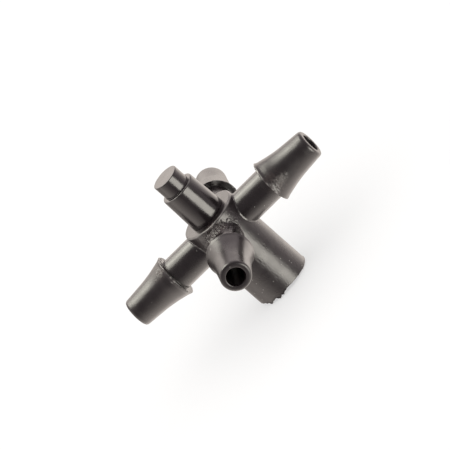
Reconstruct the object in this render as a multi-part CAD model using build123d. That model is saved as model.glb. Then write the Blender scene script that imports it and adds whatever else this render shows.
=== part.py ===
from build123d import *
import os

# Cross fitting for micro-irrigation hose: a round hub with a socket at its foot, four barbed arms in
# one level plane, and a stepped plug in its top. Millimetres, +Z up along the hub. The origin is the
# centre of the socket's mouth, so the fitting stands on z = 0.

# Driving dimensions: hub
ARM_PLANE_Z = 9.4             # height of the four arms' axes
HUB_TOP_Z = 11.9              # flat top of the hub
HUB_FOOT_RADIUS = 3.46        # the hub tapers a little, as a moulding does
HUB_TOP_RADIUS = 3.5
HUB_TOP_EDGE_ROUND = 0.12
SOCKET_RADIUS = 2.2
SOCKET_DEPTH = 6.4
SOCKET_LEAD_IN = 0.25
CHAMBER_RADIUS = 1.35         # water chamber above the socket, open to the hub's top

# Driving dimensions: barbed arm, along its own axis from the hub's centre
WATERWAY_RADIUS = 1.1
SPIGOT_RADIUS = 1.5           # the part of the arm that is let into the hub's wall
SPIGOT_START = 2.0
STEM_RADIUS = 2.0
SHOULDER_START = 7.5          # back face of the barb
SHOULDER_RADIUS = 2.66
SHOULDER_LAND = 0.14          # width of the blunt edge round the shoulder
FLARE_END = 10.0              # the steep flare changes here to a gentle taper
FLARE_END_RADIUS = 2.09
ARM_TIP = 13.8
TIP_RADIUS = 1.76
TIP_ROUND = 0.28
TIP_BORE_LEAD_IN = 0.12

# Driving dimensions: plug
SHANK_CLEARANCE = 0.05        # radial gap between the plug's shank and the chamber
SHANK_LENGTH = 1.15           # it ends just above the arms' waterways
SHANK_CHAMFER = 0.2
STUB_FOOT_RADIUS = 2.26
STUB_TOP_RADIUS = 2.12
STUB_TOP_Z = 16.6
STUB_EDGE_ROUND = 0.16
PEG_RADIUS = 1.66
PEG_TOP_Z = 18.5
PEG_EDGE_ROUND = 0.08

# The arms, named by the direction in which each one points
ARM_DIRECTIONS = {
    "barb_arm_right": 0,
    "barb_arm_rear": 90,
    "barb_arm_left": 180,
    "barb_arm_front": 270,
}

BORE_OVERRUN = 1.0            # how far a cutting cylinder passes beyond what it cuts


def round_bar(radius, start_z, end_z):
    """A plain cylinder on the Z axis between two heights."""
    return Pos(0, 0, start_z) * Cylinder(
        radius, end_z - start_z, align=(Align.CENTER, Align.CENTER, Align.MIN))


def hub_envelope():
    """The hub's solid outer shape, with its slight taper."""
    return Cone(
        HUB_FOOT_RADIUS, HUB_TOP_RADIUS, HUB_TOP_Z, align=(Align.CENTER, Align.CENTER, Align.MIN))


def arm_bar(radius, start, end, angle):
    """A cylinder that lies along one arm's axis, from one distance out to another."""
    return Pos(0, 0, ARM_PLANE_Z) * Rot(0, 0, angle) * Rot(0, 90, 0) * round_bar(radius, start, end)


def make_hub_tube():
    """The hub: socket below, chamber above, and a stepped hole through the wall for each arm."""
    hub = hub_envelope()
    hub = fillet(hub.edges().group_by(Axis.Z)[-1], HUB_TOP_EDGE_ROUND)
    hub -= round_bar(CHAMBER_RADIUS, 0, HUB_TOP_Z + BORE_OVERRUN)
    hub -= round_bar(SOCKET_RADIUS, 0, SOCKET_DEPTH)
    hub -= Cone(
        SOCKET_RADIUS + SOCKET_LEAD_IN, SOCKET_RADIUS, SOCKET_LEAD_IN,
        align=(Align.CENTER, Align.CENTER, Align.MIN))
    for angle in ARM_DIRECTIONS.values():
        hub -= arm_bar(WATERWAY_RADIUS, 0, SPIGOT_START, angle)
        hub -= arm_bar(SPIGOT_RADIUS, SPIGOT_START, HUB_TOP_RADIUS + BORE_OVERRUN, angle)
    return hub


def barb_section():
    """Half section of an arm: the first number is the radius, the second the distance along it."""
    taper = (FLARE_END_RADIUS - TIP_RADIUS) / (ARM_TIP - FLARE_END)
    shoulder_front = (SHOULDER_RADIUS, SHOULDER_START + SHOULDER_LAND)
    flare_end = (FLARE_END_RADIUS, FLARE_END)
    round_start = (TIP_RADIUS + taper * TIP_ROUND, ARM_TIP - TIP_ROUND)
    round_end = (TIP_RADIUS - TIP_ROUND, ARM_TIP)
    with BuildSketch(Plane.XZ) as section:
        with BuildLine():
            Polyline(
                round_end,
                (WATERWAY_RADIUS + TIP_BORE_LEAD_IN, ARM_TIP),
                (WATERWAY_RADIUS, ARM_TIP - TIP_BORE_LEAD_IN),
                (WATERWAY_RADIUS, 0),
                (STEM_RADIUS, 0),
                (STEM_RADIUS, SHOULDER_START),
                (SHOULDER_RADIUS, SHOULDER_START),
                shoulder_front)
            TangentArc(flare_end, shoulder_front, tangent=(taper, -1))
            Line(flare_end, round_start)
            TangentArc(round_start, round_end, tangent=(-taper, 1))
        make_face()
    return section.sketch


def make_barb_arm(angle):
    """One arm: spigot in the hub's wall, stem, and the barbed head round one straight waterway."""
    upright_arm = revolve(barb_section(), Axis.Z)
    arm = Pos(0, 0, ARM_PLANE_Z) * Rot(0, 0, angle) * Rot(0, 90, 0) * upright_arm
    hub_wall = hub_envelope() - arm_bar(SPIGOT_RADIUS, SPIGOT_START, HUB_TOP_RADIUS + BORE_OVERRUN, angle)
    return arm - hub_wall


def make_top_plug():
    """The plug: a short shank in the hub, a stub that seats on the hub's top, and a narrower peg."""
    shank_radius = CHAMBER_RADIUS - SHANK_CLEARANCE
    shank = round_bar(shank_radius, HUB_TOP_Z - SHANK_LENGTH, HUB_TOP_Z)
    shank = chamfer(shank.edges().group_by(Axis.Z)[0], SHANK_CHAMFER)
    stub = Pos(0, 0, HUB_TOP_Z) * Cone(
        STUB_FOOT_RADIUS, STUB_TOP_RADIUS, STUB_TOP_Z - HUB_TOP_Z,
        align=(Align.CENTER, Align.CENTER, Align.MIN))
    stub = fillet(stub.edges().group_by(Axis.Z)[-1], STUB_EDGE_ROUND)
    peg = round_bar(PEG_RADIUS, STUB_TOP_Z, PEG_TOP_Z)
    peg = fillet(peg.edges().group_by(Axis.Z)[-1], PEG_EDGE_ROUND)
    return shank + stub + peg


def write_node(node_name, shape):
    """Write one piece to its own STEP file, named after its node."""
    export_step(shape, os.path.join("parts", node_name + ".step"))


os.makedirs("parts", exist_ok=True)
write_node("hub_tube", make_hub_tube())
write_node("top_plug", make_top_plug())
for arm_name, arm_angle in ARM_DIRECTIONS.items():
    write_node(arm_name, make_barb_arm(arm_angle))
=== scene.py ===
import math

import bmesh
import bpy
from mathutils import Matrix, Vector, noise


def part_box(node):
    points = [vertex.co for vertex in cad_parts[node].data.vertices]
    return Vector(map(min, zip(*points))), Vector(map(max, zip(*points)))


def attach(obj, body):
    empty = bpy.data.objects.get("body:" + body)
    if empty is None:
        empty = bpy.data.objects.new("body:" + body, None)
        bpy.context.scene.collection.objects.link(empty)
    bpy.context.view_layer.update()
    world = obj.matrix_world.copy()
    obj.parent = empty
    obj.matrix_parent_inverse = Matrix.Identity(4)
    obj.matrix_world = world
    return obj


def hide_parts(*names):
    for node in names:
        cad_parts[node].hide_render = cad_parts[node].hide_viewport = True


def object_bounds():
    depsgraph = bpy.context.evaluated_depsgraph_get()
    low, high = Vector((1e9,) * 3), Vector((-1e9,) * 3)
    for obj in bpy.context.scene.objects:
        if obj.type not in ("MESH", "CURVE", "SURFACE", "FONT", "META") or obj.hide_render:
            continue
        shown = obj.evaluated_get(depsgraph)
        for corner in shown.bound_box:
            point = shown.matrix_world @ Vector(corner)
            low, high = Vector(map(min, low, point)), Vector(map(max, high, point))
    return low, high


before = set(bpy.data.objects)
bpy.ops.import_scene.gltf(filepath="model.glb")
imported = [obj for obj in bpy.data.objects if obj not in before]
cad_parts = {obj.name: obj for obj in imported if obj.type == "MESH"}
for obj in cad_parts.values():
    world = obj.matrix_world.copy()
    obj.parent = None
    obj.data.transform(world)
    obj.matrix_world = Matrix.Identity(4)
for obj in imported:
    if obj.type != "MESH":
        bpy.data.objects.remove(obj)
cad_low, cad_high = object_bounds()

MM = 0.001

# ---------------------------------------------------------------- sizes, from the frame where it has them
hub_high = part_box("hub_tube")[1]
arm_low, arm_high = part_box("barb_arm_right")
plug_low, plug_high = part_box("top_plug")

HUB_TOP = hub_high.z
HUB_TOP_RADIUS = 3.5 * MM
HUB_FOOT_RADIUS = 3.46 * MM
SOCKET_RADIUS = 2.2 * MM
SOCKET_DEPTH = 6.4 * MM
SOCKET_LEAD_IN = 0.25 * MM
CHAMBER_RADIUS = 1.35 * MM

ARM_HEIGHT = (arm_low.z + arm_high.z) / 2
ARM_TIP = arm_high.x
SPIGOT_START = arm_low.x
SHOULDER_RADIUS = (arm_high.z - arm_low.z) / 2
SPIGOT_RADIUS = 1.5 * MM
WATERWAY_RADIUS = 1.1 * MM
STEM_RADIUS = 2.0 * MM
SHOULDER_START = 7.5 * MM
SHOULDER_LAND = 0.18 * MM
FLARE_END = 10.0 * MM
FLARE_END_RADIUS = 2.07 * MM
TIP_RADIUS = 1.76 * MM

SHANK_CLEARANCE = 0.05 * MM
SHANK_RADIUS = CHAMBER_RADIUS - SHANK_CLEARANCE
PLUG_FOOT_RADIUS = plug_high.x
STUB_TOP = 16.6 * MM
STUB_TOP_RADIUS = 2.12 * MM
PEG_RADIUS = 1.66 * MM

ARM_ANGLES = {"right": 0, "rear": 90, "left": 180, "front": 270}

# ---------------------------------------------------------------- camera: a long lens, rolled
VIEW_AZIMUTH = math.radians(12.8)
VIEW_ELEVATION = math.radians(19.6)
VIEW_ROLL = math.radians(48.9)
VIEW_DISTANCE = 0.9
VIEW_WIDTH = 49.63 * MM             # what the frame spans at the arms' crossing
AIM_RIGHT = 0.19 * MM               # from the arms' crossing to the middle of the frame
AIM_UP = 0.38 * MM
SENSOR_WIDTH = 36.0                 # in mm, as Blender counts it
CLIP_START = 0.2 * VIEW_DISTANCE
CLIP_END = 100.0


def view_axes():
    """The camera's right, up and backward directions. The camera is rolled about its view axis."""
    sin_a, cos_a = math.sin(VIEW_AZIMUTH), math.cos(VIEW_AZIMUTH)
    sin_e, cos_e = math.sin(VIEW_ELEVATION), math.cos(VIEW_ELEVATION)
    back = Vector((sin_a * cos_e, -cos_a * cos_e, sin_e))
    level_right = Vector((cos_a, sin_a, 0))
    level_up = back.cross(level_right)
    right = level_right * math.cos(VIEW_ROLL) - level_up * math.sin(VIEW_ROLL)
    up = back.cross(right)
    return right, up, back


def make_camera():
    """A camera with a long lens that looks at the arms' crossing."""
    right, up, back = view_axes()
    data = bpy.data.cameras.new("camera")
    data.sensor_width = SENSOR_WIDTH
    data.lens = SENSOR_WIDTH * VIEW_DISTANCE / VIEW_WIDTH
    data.clip_start = CLIP_START
    data.clip_end = CLIP_END
    camera = bpy.data.objects.new("camera", data)
    bpy.context.scene.collection.objects.link(camera)
    aim = Vector((0, 0, ARM_HEIGHT)) + right * AIM_RIGHT + up * AIM_UP
    turn = Matrix((right, up, back)).transposed().to_4x4()
    camera.matrix_world = Matrix.Translation(aim + back * VIEW_DISTANCE) @ turn
    bpy.context.scene.camera = camera


make_camera()


# ---------------------------------------------------------------- mesh helpers
BEND_LIMIT = 0.48                   # the most of a straight run that a bend may take up
BEND_STEP = 0.09 * MM               # a longer bend gets more steps
FEWEST_BEND_STEPS = 4
SEED_SHIFT = (17.3, 5.9, 11.1)      # how far each seed moves the noise
RAGGED_SIZE = 0.25 * MM             # of the ragged bits on the roots' beads, the shoulders and the rim
EVEN_SHARE = 0.7                    # of a pale edge that doesn't vary along it


def bend_corner(before, corner, after, reach, steps):
    """Points of a smooth bend at a corner, reach long on each side, or the corner itself."""
    to_before = before - corner
    to_after = after - corner
    if reach <= 0:
        return [corner]
    start = corner + to_before * min(BEND_LIMIT, reach / to_before.length)
    end = corner + to_after * min(BEND_LIMIT, reach / to_after.length)
    points = []
    for i in range(steps + 1):
        t = i / steps
        points.append(start.lerp(corner, t).lerp(corner.lerp(end, t), t))
    return points


def outline(corners, closed):
    """Rows along a section. Each row is a Vector of saddle share times 1 mm, distance and radius.

    A corner is (saddle share, distance, radius, reach of its bend, spacing of the rows after it), the
    last two in mm. A saddle share of 1 counts the distance from the hub's side, not from its axis."""
    spots = [Vector((share * MM, distance, radius)) for share, distance, radius, reach, spacing in corners]
    reaches = [reach * MM for share, distance, radius, reach, spacing in corners]
    spacings = [spacing * MM for share, distance, radius, reach, spacing in corners]
    if not closed:
        reaches[0] = 0
        reaches[-1] = 0
    bends = []
    for i, spot in enumerate(spots):
        after = spots[(i + 1) % len(spots)]
        steps = max(FEWEST_BEND_STEPS, int(reaches[i] / BEND_STEP))
        bends.append(bend_corner(spots[i - 1], spot, after, reaches[i], steps))
    rows = []
    runs = len(corners) if closed else len(corners) - 1
    for i in range(runs):
        rows.extend(bends[i])
        start = bends[i][-1]
        end = bends[(i + 1) % len(bends)][0]
        cuts = max(1, round((end - start).length / spacings[i]))
        rows.extend(start.lerp(end, k / cuts) for k in range(1, cuts))
    if not closed:
        rows.extend(bends[-1])
    return rows


def ring_mesh(name, rows, angles, place, closed):
    """A mesh of one ring of points per row. An open outline is capped at both ends.

    place gives a point and how pale the plastic is there, from 0 to 1: partly pale flash, partly a painted
    highlight."""
    mesh_edit = bmesh.new()
    # The pale layer carries pale flash and painted highlights along edges, roots, crumbs and scars
    pale = mesh_edit.verts.layers.float.new("pale")

    def new_point(row, angle):
        spot, share = place(row, angle)
        point = mesh_edit.verts.new(spot)
        point[pale] = min(1.0, share)
        return point

    rings = [[new_point(row, angle) for angle in angles] for row in rows]
    count = len(angles)
    last = len(rings) if closed else len(rings) - 1
    for i in range(last):
        ring = rings[i]
        following = rings[(i + 1) % len(rings)]
        for j in range(count):
            k = (j + 1) % count
            mesh_edit.faces.new((ring[j], ring[k], following[k], following[j]))
    if not closed:
        mesh_edit.faces.new(rings[0])
        mesh_edit.faces.new(rings[-1])
    bmesh.ops.recalc_face_normals(mesh_edit, faces=mesh_edit.faces)
    mesh = bpy.data.meshes.new(name)
    mesh_edit.to_mesh(mesh)
    mesh_edit.free()
    mesh.polygons.foreach_set("use_smooth", [True] * len(mesh.polygons))
    piece = bpy.data.objects.new(name, mesh)
    bpy.context.scene.collection.objects.link(piece)
    return piece


def even_angles(count):
    """Angles once round a circle, evenly spaced."""
    return [math.tau * i / count for i in range(count)]


def angle_gap(a, b):
    """The signed difference between two angles, within half a turn."""
    return (a - b + math.pi) % math.tau - math.pi


def bump(distance, width):
    """A smooth hill: 1 in the middle, and near 0 from about two widths out."""
    return math.exp(-((distance / width) ** 2))


def grain(point, size, seed):
    """Smooth noise from -1 to 1, whose features are about size across.

    Any number is a seed. Every sort of mark has one of its own, so that no two marks line up."""
    return noise.noise(point / size + Vector([seed * shift for shift in SEED_SHIFT]))


def layered_grain(point, layers, seed):
    """Noise in layers of (height, feature size). Each layer has a seed of its own, from seed up."""
    return sum(height * grain(point, size, seed + i) for i, (height, size) in enumerate(layers))


def uneven(point, size, seed):
    """How pale an edge is at this point, as a share of its usual paleness."""
    return EVEN_SHARE + grain(point, size, seed)


# ---------------------------------------------------------------- barbed arms
ARM_POINTS = 192                    # round each ring
ARM_GRAIN = [(0.009 * MM, 0.9 * MM), (0.0025 * MM, 0.2 * MM)]
ARM_OUTSIDE = WATERWAY_RADIUS + 0.2 * MM       # beyond this radius the surface is an outside one
STEM_END = SHOULDER_START - 0.05 * MM

ROOT_SINK = 0.08 * MM               # how far an arm's root reaches into the hub's surface
BEAD_HEIGHT = 0.07 * MM             # the thin raised line round the root
BEAD_TOP_END = 0.03 * MM            # the bead is full height to here, out from the hub's side
BEAD_END = 0.12 * MM                # and runs out into the stem here
BEAD_WIDTH = 0.08 * MM
BEAD_RAGGED = 0.035 * MM
# The bead's paleness is partly pale flash and partly a painted highlight along the root line
BEAD_PALENESS = 0.32
BEAD_PALE_BASE = 0.3
BEAD_PALE_SPREAD = 1.5
PALE_PATCH_SIZE = 0.4 * MM          # on beads and shoulders

CRUMB_HEIGHT = 0.4 * MM
CRUMB_LAYERS = [(1.0, 0.34 * MM), (0.8, 0.15 * MM)]
CRUMB_COVER = 0.1                   # added to the noise, so that more of the surface has crumbs
CRUMBS_END = 4.5 * MM               # the crumbs thin out beyond this distance from the hub's axis
CRUMBS_FADE = 0.7 * MM
CRUMBS_HALF_WIDTH = math.radians(62)
# The crumbs' paleness is partly pale flash and partly painted glints
CRUMB_PALENESS = 0.5
PALE_CRUMBS_FROM = 0.35

LIP_END = 0.4 * MM                  # the lip round the shoulder runs to here, past the shoulder's face
LIP_DROP = 0.11 * MM
LAND_DROP = 0.01 * MM
# Paleness of the shoulder's edge and its nicks: partly pale flash, partly a painted highlight along the
# edge
EDGE_PALENESS = 0.3                 # of the shoulder's edge
EDGE_PALE_BASE = 0.3
EDGE_RAGGED = 0.04 * MM
EDGE_MIDDLE = 0.04 * MM             # from the shoulder's face, for nicks, raggedness and paleness
EDGE_WIDTH = 0.1 * MM
NICK_SHARE = 0.9                    # of its listed height that a nick reaches
NICK_PALENESS = 0.5
FACE_RAGGED = 0.07 * MM             # how far bits of the shoulder's face stand back over the stem
FACE_BITS = [(1.0, 0.3 * MM), (0.5, 0.12 * MM)]
FACE_INSIDE = FLARE_END_RADIUS + 0.1 * MM      # the ragged part of the face lies beyond this radius
FACE_END = SHOULDER_START + 0.2 * MM

HEAD_MARKS_START = SHOULDER_START + 0.1 * MM
SCAR_WIDTH = 0.05 * MM
SCAR_HEIGHT = 0.035 * MM
# The scars' paleness is partly pale plastic and partly a painted highlight along them
SCAR_PALENESS = 0.5
# The two side arms' heads are a little full on the side by the front arm: angle in degrees
SWELLINGS = {"right": 152, "left": 28}
SWELLING_HEIGHT = 0.1 * MM
SWELLING_HALF_WIDTH = math.radians(30)

# Ragged bits round each shoulder: (angle in degrees, half width in degrees, height in mm)
SHOULDER_NICKS = {
    "right": [
        (122, 5, 0.05), (141, 3, 0.07), (158, 4, 0.06), (176, 3, 0.08), (190, 5, 0.05), (68, 9, 0.1),
    ],
    "rear": [(40, 4, 0.05), (133, 6, 0.06), (260, 4, 0.05)],
    "left": [
        (12, 4, 0.08), (24, 3, 0.06), (75, 5, 0.08), (96, 4, 0.06), (112, 7, 0.07), (-42, 6, 0.09),
    ],
    "front": [(95, 4, 0.05), (150, 5, 0.04), (300, 6, 0.05)],
}
# Thin raised scars on each flare: (angle in degrees, distance behind the tip in mm, slant in radians,
# length in mm)
FLARE_SCARS = {
    "right": [
        (172, 5.9, 1.9, 0.6), (181, 5.6, 1.75, 0.75), (190, 5.9, 1.6, 0.4), (178, 4.1, 1.9, 0.5),
    ],
    "rear": [(60, 5.1, 0.4, 0.4)],
    "left": [
        (52, 5.75, 1.5, 0.3), (59, 5.85, 1.2, 0.3), (67, 5.6, 0.2, 0.3), (63, 5.2, -0.3, 0.25),
        (14, 5.95, 1.4, 0.25),
    ],
    "front": [(110, 5.5, 0.3, 0.4)],
}


def hub_radius(height):
    """The hub's outer radius at a height."""
    share = min(1.0, max(0.0, height / HUB_TOP))
    return HUB_FOOT_RADIUS + (HUB_TOP_RADIUS - HUB_FOOT_RADIUS) * share


def saddle(radius, angle):
    """Distance from the hub's axis at which an arm's side, at this radius and angle, meets the hub."""
    across = radius * math.cos(angle)
    height = ARM_HEIGHT + radius * math.sin(angle)
    return math.sqrt(hub_radius(height) ** 2 - across ** 2)


def arm_outline():
    """Section of an arm: spigot, root bead, stem, shoulder with its lip, flare, taper, tip, waterway."""
    bead_radius = STEM_RADIUS + BEAD_HEIGHT
    return outline([
        (0, SPIGOT_START, WATERWAY_RADIUS, 0, 0.5),
        (0, SPIGOT_START, SPIGOT_RADIUS, 0, 0.5),
        (1, -ROOT_SINK, SPIGOT_RADIUS, 0, 0.2),
        (1, -ROOT_SINK, bead_radius, 0, 0.04),
        (1, BEAD_TOP_END, bead_radius, 0.04, 0.03),
        (1, BEAD_END, STEM_RADIUS, 0.05, 0.09),
        (0, SHOULDER_START, STEM_RADIUS, 0.08, 0.06),
        (0, SHOULDER_START, SHOULDER_RADIUS, 0.1, 0.04),
        (0, SHOULDER_START + SHOULDER_LAND, SHOULDER_RADIUS - LAND_DROP, 0.05, 0.05),
        (0, SHOULDER_START + LIP_END, SHOULDER_RADIUS - LIP_DROP, 0.12, 0.07),
        (0, FLARE_END, FLARE_END_RADIUS, 1.3, 0.09),
        (0, ARM_TIP, TIP_RADIUS, 0.34, 0.08),
        (0, ARM_TIP, WATERWAY_RADIUS, 0.14, 0.8),
    ], closed=True)


def stem_crumbs(spot, distance, angle, seed):
    """Crumbs of flash on top of the front arm's stem, near its root."""
    beyond = max(0.0, distance - CRUMBS_END)
    share = bump(angle_gap(angle, math.pi / 2), CRUMBS_HALF_WIDTH) * bump(beyond, CRUMBS_FADE)
    return share * max(0.0, layered_grain(spot, CRUMB_LAYERS, seed) + CRUMB_COVER)


def root_marks(name, spot, distance, radius, angle, seed):
    """Relief and paleness of the bead round an arm's root, and of the front arm's crumbs. The paleness is
    partly pale flash and partly a painted highlight along the root line and on the crumbs.
    """
    bead_share = bump(distance - saddle(radius, angle) - BEAD_TOP_END, BEAD_WIDTH)
    relief = BEAD_RAGGED * bead_share * grain(spot, RAGGED_SIZE, seed + 2)
    patches = BEAD_PALE_BASE + BEAD_PALE_SPREAD * grain(spot, PALE_PATCH_SIZE, seed + 5)
    pale = BEAD_PALENESS * bead_share * max(0.0, patches)
    if name == "front" and distance < STEM_END:
        crumbs = stem_crumbs(spot, distance, angle, seed + 4)
        relief += CRUMB_HEIGHT * crumbs
        pale += CRUMB_PALENESS * max(0.0, crumbs - PALE_CRUMBS_FROM)
    return relief, pale


def shoulder_marks(name, spot, distance, angle, seed):
    """Relief and paleness of the ragged edge of a shoulder. The paleness is partly pale flash and partly a
    painted highlight along the edge and its nicks.
    """
    edge_share = bump(distance - SHOULDER_START - EDGE_MIDDLE, EDGE_WIDTH)
    relief = EDGE_RAGGED * edge_share * grain(spot, RAGGED_SIZE, seed + 3)
    patches = EDGE_PALE_BASE + grain(spot, PALE_PATCH_SIZE, seed + 6)
    pale = EDGE_PALENESS * edge_share * max(0.0, patches)
    for degrees, half_width, height in SHOULDER_NICKS[name]:
        share = bump(angle_gap(angle, math.radians(degrees)), math.radians(half_width))
        relief += NICK_SHARE * height * MM * share * edge_share
        pale += NICK_PALENESS * share * edge_share
    return relief, pale


def flare_scars(name, distance, radius, angle):
    """How much of a scar is at this spot of a flare, from 0 to 1."""
    most = 0.0
    for degrees, behind_tip, slant, length in FLARE_SCARS[name]:
        across = radius * angle_gap(angle, math.radians(degrees))
        along = distance - (ARM_TIP - behind_tip * MM)
        turned_across = across * math.cos(slant) - along * math.sin(slant)
        turned_along = across * math.sin(slant) + along * math.cos(slant)
        most = max(most, bump(turned_across, SCAR_WIDTH) * bump(turned_along, length * MM / 2))
    return most


def head_marks(name, distance, radius, angle):
    """Relief and paleness of the scars on a head, and of the swelling on a side arm's head. The scars'
    paleness is partly pale plastic and partly a painted highlight along them.
    """
    scar = flare_scars(name, distance, radius, angle)
    relief = SCAR_HEIGHT * scar
    if name in SWELLINGS:
        share = min(1.0, (distance - SHOULDER_START) / MM) * min(1.0, (ARM_TIP - distance) / MM)
        gap = angle_gap(angle, math.radians(SWELLINGS[name]))
        relief += SWELLING_HEIGHT * share * bump(gap, SWELLING_HALF_WIDTH)
    return relief, SCAR_PALENESS * scar


def arm_surface(name, distance, radius, angle, seed):
    """How far the arm's outside stands proud of its plain section here, and how pale it is: partly pale
    flash, partly a painted highlight.
    """
    spot = Vector((distance, radius * math.cos(angle), radius * math.sin(angle)))
    relief = layered_grain(spot, ARM_GRAIN, seed)
    marks = [root_marks(name, spot, distance, radius, angle, seed)]
    if distance >= STEM_END and radius > FLARE_END_RADIUS:
        marks.append(shoulder_marks(name, spot, distance, angle, seed))
    if distance > HEAD_MARKS_START:
        marks.append(head_marks(name, distance, radius, angle))
    relief += sum(mark_relief for mark_relief, mark_pale in marks)
    return relief, sum(mark_pale for mark_relief, mark_pale in marks)


def ragged_face(angle, radius, seed):
    """How far a bit of the shoulder's face stands back over the stem."""
    around = Vector((seed, math.cos(angle), math.sin(angle))) * radius
    bits = sum(height * grain(around, size, seed) for height, size in FACE_BITS)
    return FACE_RAGGED * max(0.0, bits)


def make_arm(name, degrees, seed):
    """One barbed arm round its waterway."""
    out = Vector((math.cos(math.radians(degrees)), math.sin(math.radians(degrees)), 0))
    side = Vector((-out.y, out.x, 0))

    def place(row, angle):
        radius = row.z
        distance = row.y + row.x / MM * saddle(radius, angle)
        pale = 0.0
        if radius > FACE_INSIDE and distance < FACE_END:
            distance -= ragged_face(angle, radius, seed)
        if radius > ARM_OUTSIDE:
            relief, pale = arm_surface(name, distance, radius, angle, seed)
            radius += relief
        spot = out * distance + side * (radius * math.cos(angle))
        return spot + Vector((0, 0, ARM_HEIGHT + radius * math.sin(angle))), pale

    return ring_mesh("arm_" + name, arm_outline(), even_angles(ARM_POINTS), place, closed=True)


# ---------------------------------------------------------------- hub
HUB_GRAIN = [(0.007 * MM, 0.8 * MM), (0.005 * MM, 0.16 * MM)]
PIT_SIZE = 0.24 * MM
PIT_DEPTH = 0.035 * MM
PITS_FROM = 0.4                     # only the top of the noise makes pits
COLLAR_WIDTH = 0.42 * MM            # of the crumbs round the front arm's root
COLLAR_FADE = 0.8 * MM              # they thin out below this height over the arm's axis
HUB_CRUMB_HEIGHT = 0.2 * MM
HUB_CRUMB_LAYERS = [(1.0, 0.22 * MM), (0.6, 0.1 * MM)]
# Paleness of the hub's crumbs and top edge: partly pale flash, partly a painted highlight
HUB_CRUMB_PALENESS = 0.6
PALE_HUB_CRUMBS_FROM = 0.2
TOP_EDGE_PALENESS = 0.55
TOP_EDGE_BELOW = 0.06 * MM          # the middle of the pale edge, below the hub's top
TOP_EDGE_WIDTH = 0.07 * MM
TOP_EDGE_PATCHES = 0.6 * MM
HUB_OUTSIDE = SOCKET_RADIUS + 0.6 * MM         # beyond this radius and between these heights lies the side
HUB_SIDE_LOW = 0.001 * MM
HUB_SIDE_HIGH = HUB_TOP - 0.02 * MM

RIM_LOW = 0.12 * MM                 # the moulded rim is cut short on one side
RIM_SHORT_BY = 0.36 * MM
RIM_SHORT_SIDE = math.radians(-112)
RIM_SHORT_POWER = 1.2
RIM_FADE = 1.2 * MM                 # the rim's slant and flash die out at this height
RIM_LIP = 0.06 * MM                 # how far the flash is also turned outwards on one side
RIM_LIP_SIDE = math.radians(10)
RIM_LIP_HALF_WIDTH = math.radians(22)
RIM_LIP_HEIGHT = 0.12 * MM
FRINGE = 0.014 * MM                 # the flash between the teeth
TOOTH_BLUNTNESS = 0.7
TOOTH_RAGGED = 0.3
TOOTH_BITS = 0.1 * MM
TOOTH_FLARE = 0.25                  # how far a tooth leans outwards, as a share of its length
# Flash teeth that hang from the socket's rim: (angle in degrees, half width in degrees, length in mm)
RIM_TEETH = [
    (-150, 3, 0.05), (-138, 5, 0.12), (-127, 13, 0.2), (-127, 6, 0.26), (-119, 3, 0.07),
    (-106, 16, 0.17), (-104, 6, 0.28), (-94, 5, 0.26), (-87, 4, 0.1), (-70, 3, 0.03), (-50, 4, 0.03),
    (-30, 6, 0.03), (168, 4, 0.14), (60, 5, 0.14), (110, 4, 0.1), (-175, 5, 0.08),
]

FINE_FROM, FINE_TO = -170, -15      # the side with crumbs and flash has a finer mesh, in degrees
FINE_STEP = 0.55
COARSE_POINTS = 140
SIDE_START = 0.5 * MM               # rows are closest together at the rim, below this height
FINE_SIDE_START = 9.9 * MM          # and from this height up, where the front arm's crumbs are

HOLE_MARGIN = 0.01 * MM             # the arms' ends and the hub's holes never lie on each other
HOLE_OVERRUN = 0.6 * MM
HOLE_SIDES = 64


def hub_angles():
    """Angles round the hub, closer together on its rough side."""
    fine = [FINE_FROM + FINE_STEP * i for i in range(int((FINE_TO - FINE_FROM) / FINE_STEP))]
    left_over = 360 - (FINE_TO - FINE_FROM)
    coarse = [FINE_TO + left_over * i / COARSE_POINTS for i in range(COARSE_POINTS)]
    return [math.radians(degrees) for degrees in fine + coarse]


def hub_outline():
    """Section of the hub: rim, side, flat top, chamber, ledge and socket. Distance is height here."""
    return outline([
        (0, 0, SOCKET_RADIUS + SOCKET_LEAD_IN, 0.05, 0.12),
        (0, 0, HUB_FOOT_RADIUS, 0.07, 0.03),
        (0, SIDE_START, hub_radius(SIDE_START), 0, 0.15),
        (0, FINE_SIDE_START, hub_radius(FINE_SIDE_START), 0, 0.042),
        (0, HUB_TOP, HUB_TOP_RADIUS, 0.24, 0.12),
        (0, HUB_TOP, CHAMBER_RADIUS, 0.05, 0.8),
        (0, SOCKET_DEPTH, CHAMBER_RADIUS, 0.08, 0.3),
        (0, SOCKET_DEPTH, SOCKET_RADIUS, 0.1, 0.6),
        (0, SOCKET_LEAD_IN, SOCKET_RADIUS, 0.05, 0.1),
    ], closed=True)


def crumb_share(spot):
    """How crumbly the hub is here: most in a collar round the top of the front arm's root."""
    up = spot.z - ARM_HEIGHT
    if spot.y > 0 or up < 0:
        return 0
    gap = max(0.0, math.hypot(spot.x, up) - STEM_RADIUS)
    return bump(gap, COLLAR_WIDTH) * min(1.0, up / COLLAR_FADE)


def hub_surface(spot):
    """How far the hub's side stands proud of its plain cone here, and how pale it is: the crumbs and the
    top edge are partly pale flash, partly a painted highlight.
    """
    relief = layered_grain(spot, HUB_GRAIN, 1)
    relief -= PIT_DEPTH * max(0.0, grain(spot, PIT_SIZE, 3) - PITS_FROM)
    crumbs = crumb_share(spot) * max(0.0, layered_grain(spot, HUB_CRUMB_LAYERS, 4))
    relief += HUB_CRUMB_HEIGHT * crumbs
    pale = HUB_CRUMB_PALENESS * max(0.0, crumbs - PALE_HUB_CRUMBS_FROM)
    edge_share = bump(HUB_TOP - TOP_EDGE_BELOW - spot.z, TOP_EDGE_WIDTH)
    pale += TOP_EDGE_PALENESS * edge_share * uneven(spot, TOP_EDGE_PATCHES, 8)
    return relief, pale


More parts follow.
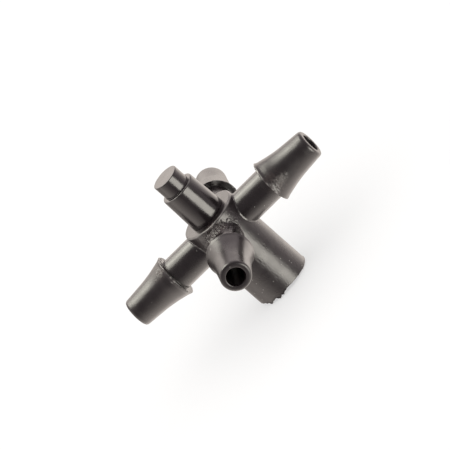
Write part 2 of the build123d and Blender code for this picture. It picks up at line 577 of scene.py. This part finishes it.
def rim_rise(angle):
    """Height of the moulded rim above the floor at this angle."""
    return RIM_LOW + RIM_SHORT_BY * max(0.0, math.cos(angle - RIM_SHORT_SIDE)) ** RIM_SHORT_POWER


def rim_drop(angle):
    """How far the flash reaches below the moulded rim at this angle."""
    around = Vector((math.cos(angle), math.sin(angle), 0)) * HUB_FOOT_RADIUS
    drop = FRINGE * (1 + grain(around, RAGGED_SIZE, 6))
    for degrees, half_width, length in RIM_TEETH:
        gap = abs(angle_gap(angle, math.radians(degrees)))
        share = max(0.0, 1 - gap / math.radians(half_width))
        ragged = 1 + TOOTH_RAGGED * grain(around, TOOTH_BITS, 7)
        drop += length * MM * share ** TOOTH_BLUNTNESS * ragged
    return min(drop, rim_rise(angle))


def cut_hole(hub, turn, radius, low, high):
    """Cuts a round hole across the hub, level with the arms. turn takes +X to the hole's direction."""
    edit = bmesh.new()
    bmesh.ops.create_cone(
        edit, cap_ends=True, segments=HOLE_SIDES, radius1=radius, radius2=radius, depth=high - low)
    middle = turn @ Vector(((low + high) / 2, 0, 0)) + Vector((0, 0, ARM_HEIGHT))
    edit.transform(Matrix.Translation(middle) @ turn @ Matrix.Rotation(math.pi / 2, 4, "Y"))
    cutter_mesh = bpy.data.meshes.new("cutter")
    edit.to_mesh(cutter_mesh)
    edit.free()
    cutter = bpy.data.objects.new("cutter", cutter_mesh)
    bpy.context.scene.collection.objects.link(cutter)
    cut = hub.modifiers.new("side_hole", "BOOLEAN")
    cut.operation = "DIFFERENCE"
    cut.solver = "MANIFOLD"
    cut.object = cutter
    graph = bpy.context.evaluated_depsgraph_get()
    cut_mesh = bpy.data.meshes.new_from_object(hub.evaluated_get(graph))
    hub.modifiers.remove(cut)
    hub.data = cut_mesh
    bpy.data.objects.remove(cutter)


def cut_side_holes(hub):
    """The waterways through the hub's wall, and the wider holes outside them for the arms' spigots."""
    reach = HUB_TOP_RADIUS + HOLE_OVERRUN
    for degrees in (0, 90):
        turn = Matrix.Rotation(math.radians(degrees), 4, "Z")
        cut_hole(hub, turn, WATERWAY_RADIUS - HOLE_MARGIN, -SPIGOT_START, SPIGOT_START)
        for low, high in ((-reach, -SPIGOT_START), (SPIGOT_START, reach)):
            cut_hole(hub, turn, SPIGOT_RADIUS + HOLE_MARGIN, low, high)


def make_hub():
    """The hub, with its side holes for the arms' spigots."""

    def place(row, angle):
        height, radius = row.y, row.z
        foot_share = max(0.0, 1 - height / RIM_FADE)
        outer_share = max(0.0, radius - SOCKET_RADIUS) / (HUB_FOOT_RADIUS - SOCKET_RADIUS)
        on_side = radius > HUB_OUTSIDE and HUB_SIDE_LOW < height < HUB_SIDE_HIGH
        pale = 0.0
        drop = rim_drop(angle)
        height += (rim_rise(angle) - drop * outer_share ** 2) * foot_share
        if on_side:
            spot = Vector((radius * math.cos(angle), radius * math.sin(angle), height))
            relief, pale = hub_surface(spot)
            above_rim = height - rim_rise(angle) + drop
            lip = RIM_LIP * bump(angle_gap(angle, RIM_LIP_SIDE), RIM_LIP_HALF_WIDTH)
            radius += relief + (TOOTH_FLARE * drop + lip) * bump(above_rim, RIM_LIP_HEIGHT)
        return Vector((radius * math.cos(angle), radius * math.sin(angle), height)), pale

    hub = ring_mesh("hub", hub_outline(), hub_angles(), place, closed=True)
    cut_side_holes(hub)
    return hub


# ---------------------------------------------------------------- plug
PLUG_POINTS = 192                   # round each ring
PLUG_GRAIN = [(0.005 * MM, 0.9 * MM), (0.0015 * MM, 0.2 * MM)]
PLUG_CENTRE = 0.04 * MM             # radius of the small flat that closes each end
PLUG_SEAT = HUB_TOP + 0.01 * MM     # the stub's foot, a hair above the hub's top
# Paleness of the stub's top edge: partly pale flash, partly a painted highlight
STUB_EDGE_PALENESS = 0.3
STUB_EDGE_WIDTH = 0.1 * MM
STUB_EDGE_PATCHES = 0.5 * MM
PLUG_OUTSIDE = 0.9 * PEG_RADIUS     # the grain lies beyond this radius and above this height
PLUG_GRAIN_START = HUB_TOP + 0.05 * MM


def plug_outline():
    """Section of the plug from the middle of its shank's end to the middle of its peg's end."""
    return outline([
        (0, plug_low.z, PLUG_CENTRE, 0, 0.3),
        (0, plug_low.z, SHANK_RADIUS, 0.18, 0.2),
        (0, PLUG_SEAT, SHANK_RADIUS, 0, 0.2),
        (0, PLUG_SEAT, PLUG_FOOT_RADIUS, 0.03, 0.08),
        (0, STUB_TOP, STUB_TOP_RADIUS, 0.17, 0.05),
        (0, STUB_TOP, PEG_RADIUS, 0.05, 0.08),
        (0, plug_high.z, PEG_RADIUS, 0.09, 0.09),
        (0, plug_high.z, PLUG_CENTRE, 0, 0.3),
    ], closed=False)


def make_plug():
    """The stepped plug: hidden shank, stub and peg."""

    def place(row, angle):
        height, radius = row.y, row.z
        spot = Vector((radius * math.cos(angle), radius * math.sin(angle), height))
        if height > PLUG_GRAIN_START and radius > PLUG_OUTSIDE:
            radius += layered_grain(spot, PLUG_GRAIN, 21)
        # The stub's top edge is painted paler: partly pale flash, partly a painted highlight along the
        # edge
        from_edge = Vector((radius - STUB_TOP_RADIUS, height - STUB_TOP)).length
        edge_share = bump(from_edge, STUB_EDGE_WIDTH)
        pale = STUB_EDGE_PALENESS * edge_share * uneven(spot, STUB_EDGE_PATCHES, 23)
        return Vector((radius * math.cos(angle), radius * math.sin(angle), height)), pale

    return ring_mesh("plug", plug_outline(), even_angles(PLUG_POINTS), place, closed=False)


# ---------------------------------------------------------------- node graphs
class Graph:
    """Builds the nodes of a material or of the world, which it clears first."""

    def __init__(self, owner):
        owner.use_nodes = True
        self.tree = owner.node_tree
        self.tree.nodes.clear()

    def feed(self, socket, value):
        """Sets a socket to a plain value, or links it to another node's socket."""
        if isinstance(value, bpy.types.NodeSocket):
            self.tree.links.new(value, socket)
        else:
            socket.default_value = value

    def add(self, kind, inputs, **settings):
        """A new node, with its settings made first and then its inputs fed."""
        node = self.tree.nodes.new(kind)
        for name, value in settings.items():
            setattr(node, name, value)
        for name, value in inputs.items():
            self.feed(node.inputs[name], value)
        return node

    def coordinates(self, kind):
        """A kind of coordinates: "Object" in metres, or "Generated" for a world's directions."""
        return self.add("ShaderNodeTexCoord", {}).outputs[kind]

    def combine(self, operation, *values):
        """Works out a number from numbers."""
        node = self.add("ShaderNodeMath", dict(enumerate(values)), operation=operation)
        return node.outputs["Value"]

    def measure(self, operation, *values):
        """Works out a number from vectors."""
        node = self.add("ShaderNodeVectorMath", dict(enumerate(values)), operation=operation)
        return node.outputs["Value"]

    def noise(self, coordinates, scale, detail, roughness):
        """Noise from 0 to 1, with features per metre given by scale."""
        node = self.add("ShaderNodeTexNoise", {
            "Scale": scale, "Detail": detail, "Roughness": roughness, "Vector": coordinates})
        return node.outputs["Fac"]

    def remap(self, value, low, high, to_low, to_high):
        """A clamped change of range."""
        node = self.add("ShaderNodeMapRange", {
            "From Min": low, "From Max": high, "To Min": to_low, "To Max": to_high, "Value": value})
        return node.outputs["Result"]

    def mix_colours(self, factor, first, second):
        """A mix of two colours, each a plain (red, green, blue) or a socket."""
        node = self.add("ShaderNodeMix", {"Factor": factor}, data_type="RGBA")
        for name, value in (("A", first), ("B", second)):
            socket = [s for s in node.inputs if s.name == name and s.type == "RGBA"][0]
            self.feed(socket, (*value, 1) if isinstance(value, tuple) else value)
        return [s for s in node.outputs if s.type == "RGBA"][0]

    def bump(self, height, distance, strength, below=None):
        """A normal bumped by a height field. below is the normal that it builds on."""
        inputs = {"Height": height, "Distance": distance, "Strength": strength}
        if below is not None:
            inputs["Normal"] = below
        return self.add("ShaderNodeBump", inputs).outputs["Normal"]

    def finish(self, kind, shader):
        """Ends the graph with its output node."""
        self.add(kind, {"Surface": shader})


# ---------------------------------------------------------------- materials
# Noises: (features per metre, detail, roughness), and what part of a noise's range counts
CLOUD_NOISE = (700, 3, 0.55)        # broad unevenness in tone and gloss
CLOUD_TONE_RANGE = (0.35, 0.7)
CLOUD_GLOSS_RANGE = (0.3, 0.7)
RAGGED_NOISE = (5200, 4, 0.7)
WORN_NOISE = (2200, 4, 0.65)
WORN_RANGE = (0.38, 0.62)
SCRATCH_NOISE = (1600, 2, 0.7)
SCRATCH_RANGE = (0.66, 0.72)
GRAIN_DETAIL = 3
GRAIN_ROUGHNESS = 0.55
SCRATCH_TURN = (0.5, 0.9, 0.3)
SCRATCH_STRETCH = (1, 7, 7)         # scratches are seven times as long as wide
DUST_SCALE = 2600
DUST_SIZE = 0.16                    # of a speck, as a share of its cell
DUST_CORE = 0.6                     # of a speck's size, inside its soft edge
LEAST_WORN = 0.1                    # between the patches of a worn spot

# The worn tone is partly worn plastic, partly painted sheen
WORN_AND_SHEEN_TINT = (2.6, 2.3, 1.9)         # times the pale tone
# Tone of the pale marks from the mesh: partly pale flash, partly a painted highlight
FLASH_AND_HIGHLIGHT_TONE = (0.34, 0.32, 0.3)
SCUFF_TINT = 4                      # times the pale tone
SCUFF_SHARE = 0.35
DUST_TONE = (0.42, 0.4, 0.37)
DUST_SHARE = 0.6                    # of a speck's tone that hides the plastic's

PLASTIC_IOR = 1.5
GLOSS_SPREAD = (-0.04, 0.05)        # added to the roughness at the two ends of the clouds
HEAD_RANGE = (SHOULDER_START - 0.1 * MM, SHOULDER_START + 0.3 * MM)
HEAD_ROUGHER_BY = 0.05
WORN_ROUGHER_BY = 0.04
RAGGED_DEPTH = 0.1 * MM
DUST_DEPTH = 0.03 * MM
DUST_BUMP = 0.6

# Rubbed, ragged places, whose lighter tone is partly painted sheen: (centre in mm, radius in mm of full
# wear, radius in mm at which it ends)
WORN_AND_SHEEN_SPOTS = [
    ((0, -4.3, 11.4), 0.9, 1.9),
    ((8.3, -2.4, 9.9), 0.6, 1.8),
    ((-8.3, -1.2, 11.5), 0.5, 1.3),
]


def worn_and_sheen_share(graph, coordinates):
    """Where the plastic is rubbed and ragged, in patches. The tone is lightened by this share too, partly
    as painted sheen.
    """
    shares = []
    for centre, full, end in WORN_AND_SHEEN_SPOTS:
        away = graph.measure("DISTANCE", coordinates, Vector(centre) * MM)
        shares.append(graph.remap(away, full * MM, end * MM, 1, 0))
    most = shares[0]
    for share in shares[1:]:
        most = graph.combine("MAXIMUM", most, share)
    patches = graph.remap(graph.noise(coordinates, *WORN_NOISE), *WORN_RANGE, LEAST_WORN, 1)
    return graph.combine("MULTIPLY", most, patches)


def head_share(graph, coordinates):
    """1 on the barbed heads, which are a little less glossy, and 0 elsewhere."""
    flat = graph.add(
        "ShaderNodeVectorMath", {0: coordinates, 1: (1, 1, 0)}, operation="MULTIPLY").outputs["Vector"]
    from_axis = graph.measure("LENGTH", flat)
    return graph.remap(from_axis, *HEAD_RANGE, 0, 1)


def dust_mask(graph, coordinates, chosen):
    """Specks of dust: cells of a Voronoi pattern, of which only the chosen share carries a speck."""
    cells = graph.add("ShaderNodeTexVoronoi", {"Scale": DUST_SCALE, "Vector": coordinates})
    near = graph.remap(cells.outputs["Distance"], DUST_SIZE * DUST_CORE, DUST_SIZE, 1, 0)
    pick = graph.add("ShaderNodeSeparateColor", {"Color": cells.outputs["Color"]}).outputs["Red"]
    return graph.combine("MULTIPLY", near, graph.combine("GREATER_THAN", pick, 1 - chosen))


def scuff_mask(graph, coordinates):
    """Thin slanting scuffs."""
    stretch = graph.add("ShaderNodeMapping", {
        "Rotation": SCRATCH_TURN, "Scale": SCRATCH_STRETCH, "Vector": coordinates})
    scratches = graph.noise(stretch.outputs["Vector"], *SCRATCH_NOISE)
    return graph.remap(scratches, *SCRATCH_RANGE, 0, 1)


def black_plastic(name, dark, pale, roughness, grain_scale, grain_depth, dusty):
    """Moulded black plastic: uneven tone and gloss, fine grain, rubbed patches whose lighter tone is
    partly painted sheen, pale marks from the mesh that are partly painted highlights, scuffs and some
    dust.

    dusty is the share of the dust pattern's cells that carry a speck."""
    material = bpy.data.materials.new(name)
    graph = Graph(material)
    coordinates = graph.coordinates("Object")
    cloud = graph.noise(coordinates, *CLOUD_NOISE)
    worn_and_sheen = worn_and_sheen_share(graph, coordinates)
    scuffs = scuff_mask(graph, coordinates)
    dust = dust_mask(graph, coordinates, dusty)
    flash_and_highlight = graph.add("ShaderNodeAttribute", {}, attribute_name="pale").outputs["Fac"]

    tone = graph.mix_colours(graph.remap(cloud, *CLOUD_TONE_RANGE, 0, 1), dark, pale)
    # Worn patches: partly worn plastic, partly painted sheen
    tone = graph.mix_colours(worn_and_sheen, tone, tuple(t * p for t, p in zip(WORN_AND_SHEEN_TINT, pale)))
    # Pale marks from the mesh: partly pale flash, partly a painted highlight
    tone = graph.mix_colours(flash_and_highlight, tone, FLASH_AND_HIGHLIGHT_TONE)
    tone = graph.mix_colours(
        graph.remap(scuffs, 0, 1, 0, SCUFF_SHARE), tone, tuple(SCUFF_TINT * p for p in pale))
    tone = graph.mix_colours(graph.remap(dust, 0, 1, 0, DUST_SHARE), tone, DUST_TONE)

    gloss_ends = [roughness + change for change in GLOSS_SPREAD]
    gloss = graph.remap(cloud, *CLOUD_GLOSS_RANGE, *gloss_ends)
    gloss = graph.combine("MULTIPLY_ADD", head_share(graph, coordinates), HEAD_ROUGHER_BY, gloss)
    rougher = graph.combine("MAXIMUM", scuffs, worn_and_sheen)
    gloss = graph.combine("MULTIPLY_ADD", rougher, WORN_ROUGHER_BY, gloss)

    fine = graph.noise(coordinates, grain_scale, GRAIN_DETAIL, GRAIN_ROUGHNESS)
    ragged = graph.noise(coordinates, *RAGGED_NOISE)
    normal = graph.bump(fine, grain_depth, 1.0)
    normal = graph.bump(ragged, RAGGED_DEPTH, worn_and_sheen, normal)
    normal = graph.bump(dust, DUST_DEPTH, DUST_BUMP, normal)

    shader = graph.add("ShaderNodeBsdfPrincipled", {
        "IOR": PLASTIC_IOR, "Base Color": tone, "Roughness": gloss, "Normal": normal})
    graph.finish("ShaderNodeOutputMaterial", shader.outputs["BSDF"])
    return material


def floor_material():
    """Matt pale card with a barely visible mottle. It glows a little, which thins out the shadows."""
    material = bpy.data.materials.new("white_card")
    graph = Graph(material)
    mottle = graph.noise(graph.coordinates("Object"), *FLOOR_NOISE)
    shader = graph.add("ShaderNodeBsdfPrincipled", {
        "Roughness": 1.0,
        "Specular IOR Level": 0.0,
        "Emission Color": (1, 1, 1, 1),
        "Emission Strength": FLOOR_GLOW,
        "Base Color": graph.mix_colours(mottle, FLOOR_TONE, FLOOR_MOTTLE_TONE),
    })
    graph.finish("ShaderNodeOutputMaterial", shader.outputs["BSDF"])
    return material


# ---------------------------------------------------------------- studio
FLOOR_HALF_SIDE = 8.0
FLOOR_TONE = (0.36, 0.36, 0.358)
FLOOR_MOTTLE_TONE = (0.37, 0.37, 0.368)
FLOOR_NOISE = (60, 2, 0.55)
FLOOR_GLOW = 0.5

# What glossy surfaces see: a bright card on the side that TABLE_UP points away from, shaded at a
# corner, at the left and straight away from the room, and a dim room on the other side
TABLE_UP = Vector((0.495, -0.495, 0.714)).normalized()
TOWARD_ROOM = Vector((0.21, -0.919, 0.335)).normalized()
SHADED_CORNER = Vector((-0.809, 0.588, -0.032)).normalized()
SHADED_LEFT = Vector((-0.98, -0.2, 0.0)).normalized()
# Ranges: (share at one end, share at the other, strength at the one, strength at the other). A share is
# 1 towards a direction, 0 square to it and -1 away from it
CARD_STRENGTH = (0.0, 0.5, 2.8, 1.4)
ROOM_STRENGTH = (-0.1, 0.7, 1.25, 0.36)
CARD_TO_ROOM = (-0.3, 0.2, 0, 1)
SHADE_AWAY_FROM_ROOM = (-1.0, -0.78, 0.35, 1.0)
SHADE_AT_CORNER = (0.7, 0.95, 1.0, 0.3)
SHADE_AT_LEFT = (0.7, 0.98, 1.0, 0.75)
CARD_COLOUR = (1.0, 0.91, 0.84)
ROOM_COLOUR = (1.0, 0.87, 0.89)
FILL = (1.45, 1.45 * 0.985, 1.45 * 0.975)
BACKDROP = (1.05, 1.05, 1.05)

# Soft lights: (name, direction towards it, width in degrees, radiance, colour)
SOFTBOXES = [
    ("top_softbox", (-0.214, 0.1115, 0.967), 38, 6.4, (1.0, 0.98, 0.86)),
    ("rear_softbox", (-0.212, 0.4455, 0.866), 37, 5.3, (1.0, 0.98, 0.86)),
    ("side_softbox", (0.565, -0.753, -0.337), 42, 9.2, (1.0, 0.96, 0.87)),
]
OVERHEAD_FILL = ("overhead_fill", (0.35, -0.2, 0.9), 60, 0.2, (1.0, 0.97, 0.95))


def make_floor():
    """A large pale floor at the foot of the fitting. Glossy surfaces see the studio instead of it."""
    edit = bmesh.new()
    corners = [(-1, -1), (1, -1), (1, 1), (-1, 1)]
    edit.faces.new([
        edit.verts.new((x * FLOOR_HALF_SIDE, y * FLOOR_HALF_SIDE, cad_low.z)) for x, y in corners])
    mesh = bpy.data.meshes.new("floor")
    edit.to_mesh(mesh)
    edit.free()
    floor = bpy.data.objects.new("floor", mesh)
    bpy.context.scene.collection.objects.link(floor)
    floor.data.materials.append(floor_material())
    floor.visible_glossy = False
    floor.visible_shadow = False


def make_soft_light(name, direction, width_degrees, radiance, colour):
    """A round soft light, far away in a direction, that shows as a strip along round glossy parts."""
    data = bpy.data.lights.new(name, "SUN")
    data.angle = math.radians(width_degrees)
    data.energy = radiance * math.pi * math.sin(data.angle / 2) ** 2
    data.color = colour
    lamp = bpy.data.objects.new(name, data)
    bpy.context.scene.collection.objects.link(lamp)
    lamp.rotation_euler = Vector(direction).to_track_quat("Z", "Y").to_euler()
    return lamp


def glowing(graph, strength, colour):
    """A colour times a strength."""
    node = graph.add(
        "ShaderNodeVectorMath", {"Vector": colour, "Scale": strength}, operation="SCALE")
    return node.outputs["Vector"]


def make_world():
    """An even fill for matt surfaces, a plain backdrop, and card and room for glossy surfaces."""
    world = bpy.data.worlds.new("studio")
    bpy.context.scene.world = world
    world.cycles.sampling_method = "NONE"
    graph = Graph(world)
    direction = graph.coordinates("Generated")

    def toward(axis):
        return graph.measure("DOT_PRODUCT", direction, axis)

    to_room = toward(TOWARD_ROOM)
    card_strength = graph.remap(to_room, *CARD_STRENGTH)
    for share, shade in (
            (to_room, SHADE_AWAY_FROM_ROOM),
            (toward(SHADED_CORNER), SHADE_AT_CORNER),
            (toward(SHADED_LEFT), SHADE_AT_LEFT)):
        card_strength = graph.combine("MULTIPLY", card_strength, graph.remap(share, *shade))
    card = glowing(graph, card_strength, CARD_COLOUR)
    room = glowing(graph, graph.remap(to_room, *ROOM_STRENGTH), ROOM_COLOUR)
    room_side = graph.remap(toward(TABLE_UP), *CARD_TO_ROOM)
    seen_in_gloss = graph.mix_colours(room_side, card, room)
    ray = graph.add("ShaderNodeLightPath", {})
    shown = graph.mix_colours(ray.outputs["Is Glossy Ray"], FILL, seen_in_gloss)
    shown = graph.mix_colours(ray.outputs["Is Camera Ray"], shown, BACKDROP)
    background = graph.add("ShaderNodeBackground", {"Color": shown})
    graph.finish("ShaderNodeOutputWorld", background.outputs["Background"])


def make_studio():
    """Floor, surroundings and soft lights. The softboxes show in glossy surfaces only."""
    make_floor()
    make_world()
    for softbox in SOFTBOXES:
        make_soft_light(*softbox).visible_diffuse = False
    make_soft_light(*OVERHEAD_FILL)
    bpy.context.scene.view_settings.view_transform = "Standard"


# ---------------------------------------------------------------- putting it together
SMOOTH_DARK = (0.0076, 0.0052, 0.0058)
SMOOTH_PALE = (0.0108, 0.0078, 0.0084)
FIRST_ARM_SEED = 31
ARM_SEED_STEP = 7

hub_plastic = black_plastic(
    "pitted_black_plastic", dark=(0.0086, 0.006, 0.0066), pale=(0.0128, 0.0096, 0.0102),
    roughness=0.29, grain_scale=6000, grain_depth=0.012 * MM, dusty=0.11)
arm_plastic = black_plastic(
    "smooth_black_plastic", dark=SMOOTH_DARK, pale=SMOOTH_PALE,
    roughness=0.25, grain_scale=9000, grain_depth=0.0025 * MM, dusty=0.05)
plug_plastic = black_plastic(
    "plug_black_plastic", dark=SMOOTH_DARK, pale=SMOOTH_PALE,
    roughness=0.2, grain_scale=9000, grain_depth=0.0018 * MM, dusty=0.03)


def finish_piece(piece, material, body, node):
    """Gives a piece its material and its body, and hides the CAD node it stands for."""
    piece.data.materials.clear()
    piece.data.materials.append(material)
    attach(piece, body)
    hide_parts(node)


finish_piece(make_hub(), hub_plastic, "fitting", "hub_tube")
finish_piece(make_plug(), plug_plastic, "plug", "top_plug")
for arm_number, (arm_name, arm_degrees) in enumerate(ARM_ANGLES.items()):
    arm = make_arm(arm_name, arm_degrees, FIRST_ARM_SEED + ARM_SEED_STEP * arm_number)
    finish_piece(arm, arm_plastic, "fitting", "barb_arm_" + arm_name)
make_studio()
